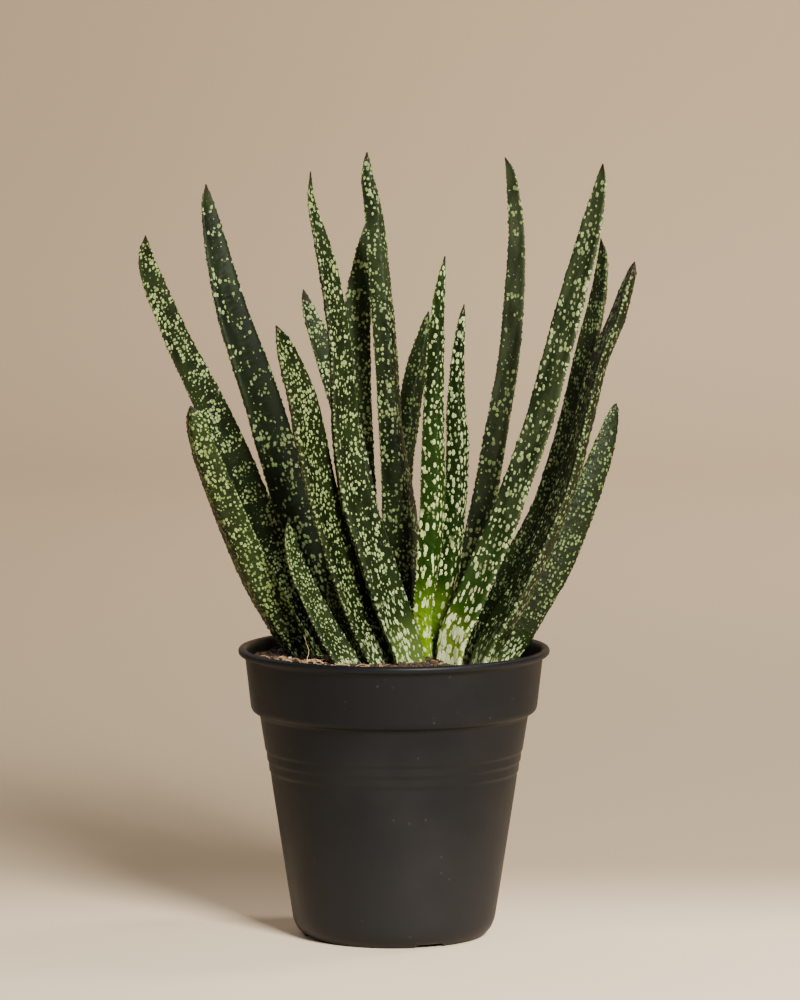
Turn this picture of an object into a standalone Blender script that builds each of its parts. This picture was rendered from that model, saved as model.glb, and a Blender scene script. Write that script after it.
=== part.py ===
"""A gasteria in a plastic nursery pot: pot, soil and eighteen leaves. Metres, +Z up."""

import math

import bmesh
import bpy
from mathutils import Vector

MM = 0.001

# Heights in the tables below are measured from this height above the ground.
DATUM_Z = 1.5 * MM

# The pot's turned wall as (radius, height) in mm, from the underside out, up and back down inside.
POT_PROFILE = (
    (0.0, 0.0),
    (31.6, 0.0),
    (32.1, -1.5),
    (35.2, -1.5),
    (35.4, -1.0),
    (36.7, 0.3),
    (38.2, 2.6),
    (39.2, 6.0),
    (39.6, 8.6),
    (47.3, 58.4),
    (47.5, 60.5),
    (47.6, 61.8),
    (48.15, 62.4),
    (48.3, 64.5),
    (48.4, 65.9),
    (48.95, 66.5),
    (49.1, 68.6),
    (49.2, 70.0),
    (49.75, 70.6),
    (51.8, 84.1),
    (53.3, 85.1),
    (54.7, 86.4),
    (55.3, 88.0),
    (57.4, 106.0),
    (57.9, 107.2),
    (59.4, 107.4),
    (60.0, 108.1),
    (60.0, 109.3),
    (59.3, 110.0),
    (57.6, 110.0),
    (56.9, 109.3),
    (56.0, 104.0),
    (53.9, 88.2),
    (53.0, 86.6),
    (50.4, 83.2),
    (48.3, 70.0),
    (46.0, 58.4),
    (38.2, 8.6),
    (37.3, 4.8),
    (35.4, 2.3),
    (33.0, 1.6),
    (0.0, 1.6),
)
POT_SIDES = 64
POT_COLOUR = (0.024, 0.022, 0.021)

# Gaps in the foot ring and round holes through the floor.
GAP_COUNT = 4
GAP_FIRST_DEGREES = -67.0
GAP_WIDTH = 11.0 * MM
GAP_INNER = 29.0 * MM
GAP_OUTER = 38.0 * MM
GAP_TOP = -0.4 * MM
GAP_BOTTOM = -3.0 * MM
DRAIN_COUNT = 6
DRAIN_FIRST_DEGREES = 11.0
DRAIN_RADIUS = 3.5 * MM
DRAIN_CIRCLE = 18.0 * MM

# The soil as (radius, height) in mm, 0.5 mm clear of the pot's inside.
SOIL_PROFILE = (
    (0.0, 2.1),
    (32.8, 2.1),
    (34.9, 2.8),
    (36.7, 5.1),
    (37.6, 8.8),
    (45.4, 58.5),
    (47.7, 70.1),
    (49.8, 83.6),
    (52.4, 87.0),
    (53.3, 88.4),
    (55.2, 102.4),
    (54.0, 103.6),
    (46.0, 104.2),
    (28.0, 105.2),
    (0.0, 105.6),
)
SOIL_SIDES = 48
SOIL_COLOUR = (0.030, 0.019, 0.012)
PIT_TOP = 113.0 * MM
PIT_FLOOR_GAP = 0.5 * MM

# A leaf's cross-section in half-widths, (across, towards the upper face). The keel is off centre.
LEAF_SECTION = (
    (1.00, 0.00),
    (0.86, 0.16),
    (0.35, 0.09),
    (-0.35, 0.09),
    (-0.86, 0.16),
    (-1.00, 0.00),
    (-0.72, -0.38),
    (-0.22, -0.78),
    (0.10, -0.84),
    (0.66, -0.42),
)
PIT_SECTION = (
    (1.12, 0.00),
    (0.96, 0.27),
    (-0.96, 0.27),
    (-1.12, 0.00),
    (-0.80, -0.46),
    (-0.25, -0.92),
    (0.12, -0.97),
    (0.75, -0.50),
)
RINGS_PER_SPAN = 2

MATURE = (0.026, 0.040, 0.022)
YOUNG = (0.070, 0.135, 0.020)

# Each leaf: name, the compass angle in degrees that its upper face looks to (-90 is the camera's
# side), its colour, and its points (x, y, z, half-width) in mm from base to tip.
LEAVES = (
    ("leaf_left_tall", -60, MATURE, (
        (-31, 17, 97, 6.2), (-42, 15, 134, 6.6), (-54.5, 11, 165.5, 6.7), (-68, 4, 197.5, 6.4),
        (-82.5, -8, 229, 5.1), (-91.5, -17, 252, 4.2), (-94, -21, 262, 3.0), (-94, -24, 270, 0.2),
    )),
    ("leaf_left_short", 60, MATURE, (
        (-28, 5, 97, 6.2), (-43.5, 1, 120, 6.8), (-55.5, -5, 144, 7.2), (-68, -16, 176, 6.2),
        (-73.5, -22, 192, 5.1), (-75.5, -25, 200.5, 3.7), (-77, -27, 205.5, 0.4),
    )),
    ("leaf_left_wide", -60, MATURE, (
        (-17, 31, 97, 7.6), (-25, 30, 117, 8.5), (-35.5, 29.5, 148, 8.5), (-44.5, 29.5, 179.5, 8.2),
        (-54, 30, 210.5, 7.6), (-62, 31, 234, 6.6), (-68, 32.5, 257, 5.2), (-72, 33.5, 277, 2.9),
        (-73, 34, 286.5, 0.2),
    )),
    ("leaf_front_left_mid", -38, MATURE, (
        (0, -11, 97, 7.0), (-11.5, -13, 122, 7.7), (-20, -16, 145.5, 7.7), (-26.5, -20, 169, 7.9),
        (-31.5, -24, 192.5, 8.0), (-34.5, -27, 208, 7.2), (-39.5, -30, 223, 5.2),
        (-42, -32, 230.5, 3.2), (-44.5, -33, 236.5, 0.3),
    )),
    ("leaf_offset_front", -40, YOUNG, (
        (-12, -21, 97, 5.2), (-23, -20, 115, 5.6), (-31, -20, 130.5, 4.8), (-37, -21, 144, 3.9),
        (-39.5, -22.5, 154, 2.7), (-40.5, -24, 161.5, 0.2),
    )),
    ("leaf_offset_back", -40, YOUNG, (
        (-10, -2, 97, 4.0), (-17, -4, 113, 4.3), (-20.5, -6, 121, 4.3), (-23, -7, 129, 3.5),
        (-25.5, -8, 136.5, 0.2),
    )),
    ("leaf_back_left", -62, MATURE, (
        (-2, 12, 97, 5.0), (-7, 12.5, 126.5, 5.5), (-12, 13, 165.5, 5.3), (-17.5, 13.5, 192.5, 4.9),
        (-23.5, 14, 212, 4.5), (-28.5, 14, 227.5, 3.9), (-32, 14, 236.5, 2.9),
        (-34, 14, 243, 1.6), (-35, 14, 247, 0.2),
    )),
    ("leaf_front_left_tall", -38, MATURE, (
        (9, -13, 97, 7.2), (4, -13, 114, 8.2), (-1.5, -14, 129.5, 8.8), (-9, -15, 153, 8.8),
        (-14, -16.5, 168.5, 8.3), (-17.5, -18.5, 188, 7.3), (-19, -20.5, 207, 6.5),
        (-20.5, -22.5, 230, 5.6), (-24, -24.5, 253, 4.9), (-27.5, -26, 268.5, 3.6),
        (-31, -27, 282.5, 1.9), (-31.5, -28, 294.5, 0.2),
    )),
    ("leaf_back_mid", -90, MATURE, (
        (-3, 38, 97, 4.3), (-9, 38, 123.5, 4.7), (-12, 39, 162.5, 4.9), (-14, 41, 202, 5.0),
        (-14.5, 43, 225, 5.1), (-14, 44.5, 240.5, 4.8), (-12, 46.5, 256, 3.5),
        (-10.5, 48, 266, 2.1), (-9, 50, 274.5, 0.2),
    )),
    ("leaf_tallest", 115, MATURE, (
        (7, 23, 97, 5.0), (4.5, 23, 125.5, 6.4), (2.5, 24, 154, 7.3), (1, 25, 172, 6.0),
        (-1, 25.5, 189, 4.9), (-2, 26, 203, 4.7), (-3.5, 27, 226.5, 4.6), (-5.5, 28.5, 249.5, 4.4),
        (-7.5, 30, 272.5, 3.7), (-10, 31, 287.5, 2.6), (-10.5, 31.5, 294.5, 1.4),
        (-10.5, 32, 299, 0.2),
    )),
    ("leaf_back_centre", 100, MATURE, (
        (7, 41, 97, 4.3), (3.5, 41.5, 123.5, 4.6), (2, 42, 154.5, 4.7), (3, 43, 178, 4.5),
        (5.5, 45, 193.5, 4.3), (7.5, 47.5, 207, 4.1), (9.5, 49.5, 216.5, 3.7),
        (11.5, 51.5, 224.5, 2.8), (12.5, 53, 231, 1.5), (13.5, 54, 235.5, 0.2),
    )),
    ("leaf_young_centre", 110, YOUNG, (
        (13, 2, 97, 3.0), (11, 1.5, 120, 3.4), (12.5, 0.5, 136, 4.1), (14, 0, 151.5, 4.8),
        (15, -0.5, 170.5, 4.9), (15, -1, 190, 4.4), (15.5, -2, 213.5, 3.7), (16.5, -3.5, 236.5, 2.7),
        (18, -4.5, 251, 1.6), (19.5, -5, 261, 0.2),
    )),
    ("leaf_young_right", 110, YOUNG, (
        (16, 10, 97, 2.8), (17.5, 9.5, 119, 3.5), (20.5, 10, 134.5, 4.1), (22.5, 10, 150, 4.2),
        (24, 10, 169.5, 4.4), (24.5, 10, 189, 4.4), (24, 10, 200, 3.8), (24, 10, 208, 3.1),
        (24.5, 10, 220, 2.5), (26, 10, 234.5, 1.4), (27, 10, 241.5, 0.2),
    )),
    ("leaf_back_right_tall", 240, MATURE, (
        (22, 20, 97, 4.8), (26.5, 20, 121.5, 5.2), (32, 20.5, 149, 5.4), (36.5, 21.5, 172.5, 5.0),
        (40.5, 22.5, 195.5, 4.7), (44.5, 24.5, 219, 4.4), (46.5, 26, 242, 4.2),
        (47.5, 28, 265, 3.5), (46.5, 29, 280.5, 2.7), (45, 29.5, 291, 1.8), (43, 30, 297, 0.2),
    )),
    ("leaf_right_tall", 225, MATURE, (
        (20.5, -7, 97, 6.0), (22.5, -7, 113.5, 6.8), (29, -8, 129, 7.0), (35.5, -9, 144.5, 7.0),
        (42, -10.5, 160, 6.6), (47.5, -12, 176, 6.4), (55.5, -14, 199, 6.5), (61.5, -16, 222, 6.5),
        (67.5, -18, 245, 6.1), (73.5, -19.5, 268, 5.2), (77, -20.5, 283, 3.6),
        (78.5, -20.5, 291.5, 2.1), (79, -21, 297, 0.2),
    )),
    ("leaf_right_shaded", 215, MATURE, (
        (25.5, 8, 97, 5.8), (31.5, 8.5, 111.5, 6.8), (38.5, 9.5, 127, 7.0), (47.5, 10.5, 142.5, 7.0),
        (56, 12, 158, 6.8), (61.5, 13.5, 173, 6.6), (68, 16, 196, 6.2), (73.5, 19, 221, 5.6),
        (77, 21.5, 235.5, 4.9), (79.5, 23.5, 248, 4.0), (80.5, 25, 258.5, 2.6), (80, 26, 266, 0.2),
    )),
    ("leaf_right_outer", 200, MATURE, (
        (29, -21, 97, 6.8), (36, -18, 115, 7.8), (45, -15.5, 130, 7.6), (52.5, -13.5, 145, 7.2),
        (59.5, -11.5, 160.5, 6.6), (65.5, -9.5, 175.5, 6.2), (72, -6, 200, 5.8),
        (77.5, -2, 221, 5.5), (84, 2, 236, 5.3), (88, 6, 247, 4.2), (91, 9, 254.5, 2.6),
        (92.5, 10, 258, 0.2),
    )),
    ("leaf_right_short", 150, MATURE, (
        (36.5, 8, 97, 6.2), (46.5, 8.5, 111.5, 7.0), (55.5, 9.5, 127, 7.4), (64, 11, 142.5, 7.4),
        (70, 13, 157.5, 7.4), (75.5, 15, 172, 7.1), (80.5, 17, 185.5, 5.9), (83.5, 18, 195, 4.0),
        (85, 18.5, 200, 2.2), (86, 19, 202.5, 0.2),
    )),
)


def clear_scene():
    for item in list(bpy.data.objects):
        bpy.data.objects.remove(item, do_unlink=True)


def plain_material(name, colour, roughness):
    material = bpy.data.materials.new(name)
    material.use_nodes = True
    shader = material.node_tree.nodes["Principled BSDF"]
    shader.inputs["Base Color"].default_value = (*colour, 1.0)
    shader.inputs["Roughness"].default_value = roughness
    shader.inputs["Metallic"].default_value = 0.0
    material.diffuse_color = (*colour, 1.0)
    return material


def object_from(name, form, material):
    bmesh.ops.recalc_face_normals(form, faces=form.faces)
    mesh = bpy.data.meshes.new(name)
    form.to_mesh(mesh)
    form.free()
    mesh.materials.append(material)
    item = bpy.data.objects.new(name, mesh)
    bpy.context.scene.collection.objects.link(item)
    return item


def lathe(name, profile, sides, material):
    """Turns a profile whose first and last points lie on the Z axis."""
    form = bmesh.new()
    rings = []
    for radius, height in profile:
        if radius == 0.0:
            rings.append([form.verts.new((0.0, 0.0, height * MM + DATUM_Z))])
            continue
        ring = []
        for step in range(sides):
            turn = 2.0 * math.pi * step / sides
            x = radius * MM * math.cos(turn)
            y = radius * MM * math.sin(turn)
            ring.append(form.verts.new((x, y, height * MM + DATUM_Z)))
        rings.append(ring)
    for lower, upper in zip(rings, rings[1:]):
        bridge(form, lower, upper)
    return object_from(name, form, material)


def bridge(form, lower, upper):
    """Joins two closed rings of vertices, either of which may be a single point."""
    count = max(len(lower), len(upper))
    for step in range(count):
        after = (step + 1) % count
        if len(lower) == 1:
            form.faces.new((lower[0], upper[after], upper[step]))
        elif len(upper) == 1:
            form.faces.new((lower[step], lower[after], upper[0]))
        else:
            form.faces.new((lower[step], lower[after], upper[after], upper[step]))


def shade_smooth(item, sharp_degrees):
    item.data.shade_smooth()
    item.data.set_sharp_from_angle(angle=math.radians(sharp_degrees))


def cut(item, cutters):
    """Subtracts each cutter from the item and removes the cutters."""
    for cutter in cutters:
        cutter.hide_render = True
        cutter.display_type = "WIRE"
        modifier = item.modifiers.new("cut", "BOOLEAN")
        modifier.operation = "DIFFERENCE"
        modifier.solver = "EXACT"
        modifier.object = cutter
    graph = bpy.context.evaluated_depsgraph_get()
    solid = bpy.data.meshes.new_from_object(item.evaluated_get(graph))
    item.modifiers.clear()
    item.data = solid
    for cutter in cutters:
        bpy.data.objects.remove(cutter, do_unlink=True)


def gap_cutter(index, material):
    form = bmesh.new()
    bmesh.ops.create_cube(form, size=1.0)
    size = (GAP_OUTER - GAP_INNER, GAP_WIDTH, GAP_TOP - GAP_BOTTOM)
    bmesh.ops.scale(form, vec=size, verts=form.verts)
    cutter = object_from(f"gap_cutter_{index}", form, material)
    turn = math.radians(GAP_FIRST_DEGREES + 360.0 * index / GAP_COUNT)
    reach = (GAP_OUTER + GAP_INNER) / 2.0
    height = (GAP_TOP + GAP_BOTTOM) / 2.0 + DATUM_Z
    cutter.location = (reach * math.cos(turn), reach * math.sin(turn), height)
    cutter.rotation_euler = (0.0, 0.0, turn)
    return cutter


def drain_cutter(index, material):
    form = bmesh.new()
    bmesh.ops.create_cone(
        form,
        cap_ends=True,
        segments=16,
        radius1=DRAIN_RADIUS,
        radius2=DRAIN_RADIUS,
        depth=0.02,
    )
    cutter = object_from(f"drain_cutter_{index}", form, material)
    turn = math.radians(DRAIN_FIRST_DEGREES + 360.0 * index / DRAIN_COUNT)
    cutter.location = (DRAIN_CIRCLE * math.cos(turn), DRAIN_CIRCLE * math.sin(turn), 0.004)
    return cutter


def make_pot():
    material = plain_material("pot_plastic", POT_COLOUR, 0.45)
    pot = lathe("pot", POT_PROFILE, POT_SIDES, material)
    cutters = [gap_cutter(index, material) for index in range(GAP_COUNT)]
    cutters += [drain_cutter(index, material) for index in range(DRAIN_COUNT)]
    bpy.context.view_layer.update()
    cut(pot, cutters)
    shade_smooth(pot, 38.0)


def curve_at(points, place):
    """A smooth curve through the points: position and half-width in metres at a place in spans."""
    rows = [[value * MM for value in point] for point in points]
    first = [2.0 * a - b for a, b in zip(rows[0], rows[1])]
    last = [2.0 * a - b for a, b in zip(rows[-1], rows[-2])]
    rows = [first] + rows + [last]
    spans = len(rows) - 3
    place = min(max(place, 0.0), spans)
    index = min(int(place), spans - 1)
    t = place - index
    values = []
    for a, b, c, d in zip(*rows[index:index + 4]):
        cubic = (3.0 * b - a - 3.0 * c + d) * t ** 3
        square = (2.0 * a - 5.0 * b + 4.0 * c - d) * t ** 2
        values.append(0.5 * (2.0 * b + (c - a) * t + square + cubic))
    return Vector(values[:3]) + Vector((0.0, 0.0, DATUM_Z)), values[3]


def ring_at(form, points, place, roll, section, shift=0.0):
    """One ring of a leaf, square to its growing direction and turned by its roll."""
    centre, half_width = curve_at(points, place)
    below = curve_at(points, place - 0.05)[0]
    above = curve_at(points, place + 0.05)[0]
    along = (above - below).normalized()
    turn = math.radians(roll)
    faces = Vector((math.cos(turn), math.sin(turn), 0.0))
    upper = (faces - along * faces.dot(along)).normalized()
    across = along.cross(upper)
    centre = centre + along * shift
    ring = []
    for side, rise in section:
        ring.append(form.verts.new(centre + (across * side + upper * rise) * half_width))
    return ring


def make_leaf(name, roll, colour, points):
    form = bmesh.new()
    spans = len(points) - 1
    rings = []
    for step in range(spans * RINGS_PER_SPAN):
        rings.append(ring_at(form, points, step / RINGS_PER_SPAN, roll, LEAF_SECTION))
    rings.append([form.verts.new(curve_at(points, spans)[0])])
    form.faces.new(list(reversed(rings[0])))
    for lower, upper in zip(rings, rings[1:]):
        bridge(form, lower, upper)
    bmesh.ops.triangulate(form, faces=form.faces)
    material = plain_material(name + "_skin", colour, 0.42)
    leaf = object_from(name, form, material)
    shade_smooth(leaf, 60.0)


def pit_cutter(name, roll, points, material):
    """The buried end of a leaf, made larger all round, as the pit that it stands in."""
    form = bmesh.new()
    place = 0.0
    rings = [ring_at(form, points, place, roll, PIT_SECTION, -PIT_FLOOR_GAP)]
    while curve_at(points, place)[0].z < PIT_TOP:
        place += 0.2
        rings.append(ring_at(form, points, place, roll, PIT_SECTION))
    form.faces.new(list(reversed(rings[0])))
    form.faces.new(rings[-1])
    for lower, upper in zip(rings, rings[1:]):
        bridge(form, lower, upper)
    bmesh.ops.triangulate(form, faces=form.faces)
    return object_from("pit_" + name, form, material)


def make_soil():
    material = plain_material("peat", SOIL_COLOUR, 0.95)
    soil = lathe("soil", SOIL_PROFILE, SOIL_SIDES, material)
    cutters = []
    for name, roll, _colour, points in LEAVES:
        cutters.append(pit_cutter(name, roll, points, material))
    cut(soil, cutters)
    shade_smooth(soil, 35.0)


def main():
    clear_scene()
    make_pot()
    make_soil()
    for name, roll, colour, points in LEAVES:
        make_leaf(name, roll, colour, points)


main()
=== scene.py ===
"""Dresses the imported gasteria: its nursery pot, the soil and its litter, and eighteen spotted leaves."""

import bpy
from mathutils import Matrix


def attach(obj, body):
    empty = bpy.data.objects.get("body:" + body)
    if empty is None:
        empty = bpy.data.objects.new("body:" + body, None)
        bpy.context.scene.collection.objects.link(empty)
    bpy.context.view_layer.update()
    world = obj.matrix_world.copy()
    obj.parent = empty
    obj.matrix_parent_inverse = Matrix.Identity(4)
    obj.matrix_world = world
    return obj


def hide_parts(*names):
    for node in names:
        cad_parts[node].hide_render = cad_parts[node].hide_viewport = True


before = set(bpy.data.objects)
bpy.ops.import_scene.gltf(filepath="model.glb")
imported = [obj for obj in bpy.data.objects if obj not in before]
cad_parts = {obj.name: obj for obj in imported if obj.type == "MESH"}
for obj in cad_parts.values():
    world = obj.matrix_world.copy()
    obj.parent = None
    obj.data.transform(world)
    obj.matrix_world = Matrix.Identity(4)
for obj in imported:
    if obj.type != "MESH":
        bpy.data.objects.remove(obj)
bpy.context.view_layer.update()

import math
import random

import bmesh
import bpy
from mathutils import Euler, Vector, noise

bl_info = {
    "name": "Potted gasteria",
    "version": (1, 0, 0),
    "blender": (4, 5, 0),
    "location": "3D View > Sidebar > Gasteria",
    "description": "Dresses the packed gasteria, its pot and its soil",
    "category": "Object",
}

MM = 0.001

# Heights in the tables are measured from this height above the ground.
DATUM_Z = 1.5 * MM

# The pot's turned wall as (radius, height) in mm, from the underside out, up and back down inside.
POT_PROFILE = (
    (0.0, 0.0), (16.0, 0.0), (31.4, 0.0), (31.9, -0.5), (32.1, -1.3), (32.5, -1.5), (34.8, -1.5),
    (35.2, -1.3), (35.6, -0.8), (36.7, 0.3), (37.6, 1.4), (38.3, 2.8), (38.9, 4.4), (39.3, 6.2),
    (39.65, 8.6), (41.6, 21.0), (43.5, 33.5), (45.4, 46.0), (47.2, 57.8), (47.35, 58.8),
    (47.55, 60.8), (47.65, 61.6), (47.85, 62.1), (48.1, 62.5), (48.2, 63.1), (48.35, 65.0),
    (48.45, 65.7), (48.65, 66.2), (48.9, 66.6), (49.0, 67.2), (49.15, 69.1), (49.25, 69.8),
    (49.45, 70.3), (49.7, 70.7), (49.8, 71.3), (50.8, 77.6), (51.7, 83.2), (51.95, 84.1),
    (52.5, 84.7), (53.3, 85.1), (54.1, 85.5), (54.7, 86.1), (55.1, 86.9), (55.3, 88.0),
    (56.3, 97.0), (57.3, 105.6), (57.45, 106.4), (57.8, 107.0), (58.5, 107.2), (59.3, 107.3),
    (59.8, 107.8), (60.0, 108.6), (59.9, 109.3), (59.5, 109.8), (58.8, 110.0), (57.9, 110.0),
    (57.3, 109.7), (56.9, 109.2), (56.6, 107.6), (56.0, 104.0), (54.9, 95.6), (54.0, 88.6),
    (53.6, 87.3), (52.8, 86.4), (50.9, 84.2), (50.3, 82.6), (48.3, 70.0), (46.0, 58.4),
    (42.1, 33.5), (38.2, 8.6), (37.3, 4.8), (35.4, 2.3), (33.0, 1.6), (16.0, 1.6), (0.0, 1.6),
)

# The foot ring's gaps: how many, the first one's direction, their width, where the ring starts,
# the height below which it lies, and the height that the gaps are raised to.
GAP_COUNT = 4
GAP_FIRST_DEGREES = -67.0
GAP_WIDTH = 11.0 * MM
RING_RADIUS = 30.0 * MM
RING_TOP_Z = DATUM_Z - 0.2 * MM
GAP_TOP_Z = DATUM_Z - 0.25 * MM

# The floor's drain holes.
DRAIN_COUNT = 6
DRAIN_FIRST_DEGREES = 11
DRAIN_RADIUS = 3.5 * MM
DRAIN_CIRCLE = 18.0 * MM
DRAIN_DEPTH = 12.0 * MM

# What dulls the plastic, the paler colour it turns towards the bottom, and its gloss.
DUST_COLOUR = (0.070, 0.060, 0.050)
SPECK_COLOUR = (0.16, 0.14, 0.11)
PALE_LOW_COLOUR = (0.040, 0.038, 0.038)
POT_SPECULAR = 0.15

# The bed of mix: its skirt against the pot's wall as (radius, height) in mm, from the foot up, then
# its surface in rings, with the radius of the widest and the gap between them in mm.
SOIL_SKIRT = ((38.1, 10.6), (45.9, 60.0), (48.1, 71.6), (49.9, 84.4), (53.2, 90.2), (54.6, 98.0))
SOIL_SIDES = 144
SOIL_RINGS = 72
SOIL_TOP_RADIUS = 54.9
SOIL_RING_GAP = 0.75

# Its surface: how high it is mounded in the middle, raised at the left edge and sunken at the right
# one, and its lumps as (density, layer of the noise, height).
SOIL_RADIUS = 54.0 * MM
SOIL_MOUND = 1.6 * MM
SOIL_LEFT_RISE = 2.2 * MM
SOIL_RIGHT_DROP = 3.0 * MM
SOIL_LUMPS = ((55, 3.1, 1.5 * MM), (260, 8.4, 0.75 * MM), (900, 1.2, 0.35 * MM))

# The mix's darkest and lightest tones against its peat.
PEAT_RANGE = (0.45, 3.0)

# A leaf's section as (across, towards its upper face) in half-widths. Below it, the same curve's
# two margins and its keel: where each is, how far from it a bead reaches in mm, how strong its
# beads are, and how far in mm its paler rim reaches.
LEAF_SECTION = (
    (1.00, 0.00), (0.86, 0.16), (0.35, 0.09), (-0.35, 0.09), (-0.86, 0.16),
    (-1.00, 0.00), (-0.72, -0.38), (-0.22, -0.78), (0.10, -0.84), (0.66, -0.42),
)
MARGINS = (
    ((1.0, 0.02), 1.1, 1.0, 0.9),
    ((-1.0, 0.02), 1.1, 1.0, 0.9),
    ((-0.05, -0.85), 0.8, 0.6, 0.0),
)

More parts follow.
